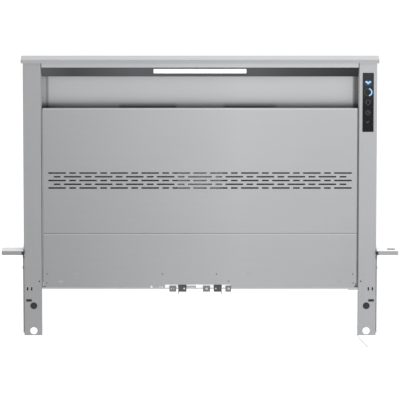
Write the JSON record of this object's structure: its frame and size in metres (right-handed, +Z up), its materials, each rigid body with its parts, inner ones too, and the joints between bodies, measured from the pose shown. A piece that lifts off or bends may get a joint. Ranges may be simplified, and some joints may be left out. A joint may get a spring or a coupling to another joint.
{
  "type": "downdraft vent",
  "caption": "Worktop downdraft vent: a stainless chimney with slotted front, intake slit, lamp and touch control that rises between side brackets on racks, with blower and duct collar behind.",
  "frame": {"origin": "middle of the worktop slot at the worktop's underside, in the plane of the posts' front faces", "axes": "+X to the right seen from the front, +Y to the back, +Z up, the way the chimney rises"},
  "size_m": [1.0168, 0.4475, 0.756],
  "materials": {
    "aluminium": "satin",
    "black_nylon": "matt",
    "brass": "turned",
    "circuit_green": "solder mask",
    "control_glass": "black, glossy",
    "filter_mesh": "mill finish",
    "galvanised": "galvanised, matt",
    "grey_plastic": "matt",
    "lamp_white": "opal, lit",
    "magnet": "nickel",
    "motor_paint": "black",
    "rubber": "matt",
    "seal_foam": "matt",
    "stainless": "brushed, satin",
    "stainless_dark": "brushed, in shade",
    "steel_shaft": "ground",
    "white_nylon": "matt",
    "zinc": "zinc plated"
  },
  "bodies": {
    "frame": {"side_bracket_left": "stainless", "side_bracket_right": "stainless", "ear_pads": "black_nylon", "guide_shoes": "black_nylon", "mouth_frame": "galvanised", "mouth_seal": "seal_foam", "plenum": "galvanised", "blower_scroll": "galvanised", "blower_cover": "galvanised", "inlet_ring": "galvanised", "fan_motor": "motor_paint", "motor_screws": "zinc", "outlet_collar": "galvanised", "gearbox": "aluminium", "lift_motor": "motor_paint", "shaft_bushes": "brass", "position_sensor": "black_nylon", "power_box": "galvanised", "power_box_cover": "galvanised", "cable_gland": "black_nylon", "frame_bolts": "zinc"},
    "chimney": {"top_cap": "stainless", "post_left": "stainless", "post_right": "stainless", "leg_plugs": "rubber", "side_wall_left": "stainless", "side_wall_right": "stainless", "rear_panel": "stainless", "lamp_housing": "stainless", "lamp_diffuser": "lamp_white", "led_board": "circuit_green", "lower_panel": "stainless", "floor_pan": "stainless", "panel_rail_left": "stainless", "panel_rail_right": "stainless", "panel_magnets": "magnet", "panel_rivets": "stainless", "filter_frame": "stainless_dark", "filter_divider": "stainless", "grease_filter_left": "filter_mesh", "grease_filter_right": "filter_mesh", "control_glass": "control_glass", "control_tray": "black_nylon", "control_board": "circuit_green", "bottom_clips": "stainless", "stop_blocks": "black_nylon", "centre_bar": "stainless", "cable_guide_strip": "stainless", "rack_left": "white_nylon", "rack_right": "white_nylon", "rack_rail_left": "aluminium", "rack_rail_right": "aluminium", "sensor_magnets": "magnet"},
    "access": {"access_panel": "stainless", "strike_plates": "zinc"},
    "lift_shaft": {"cross_shaft": "steel_shaft", "pinion_left": "white_nylon", "pinion_right": "white_nylon"},
    "fan_wheel": {"impeller": "black_nylon"},
    "damper": {"damper_flap": "grey_plastic"}
  },
  "joints": [
    {"name": "lift", "type": "slide", "parent": "frame", "child": "chimney", "axis": [0, 0, 1], "range_m": [-0.449, 0]},
    {"name": "shaft_spin", "type": "hinge", "parent": "frame", "child": "lift_shaft", "pos_m": [0, 0.07, -0.109], "axis": [-1, 0, 0], "range_deg": [-1429.71, 0.5]},
    {"name": "panel_pull", "type": "slide", "parent": "chimney", "child": "access", "axis": [0, -1, 0], "range_m": [0, 0.15]},
    {"name": "fan_spin", "type": "hinge", "parent": "frame", "child": "fan_wheel", "pos_m": [0, 0.272, -0.06], "axis": [0, 0, 1], "continuous": true},
    {"name": "damper_swing", "type": "hinge", "parent": "frame", "child": "damper", "pos_m": [0.217, 0.3605, -0.066], "axis": [0, -1, 0], "range_deg": [0, 75]}
  ],
  "couplings": [
    {"joint": "shaft_spin", "follows": "lift", "rad_per_m": 55.556}
  ]
}
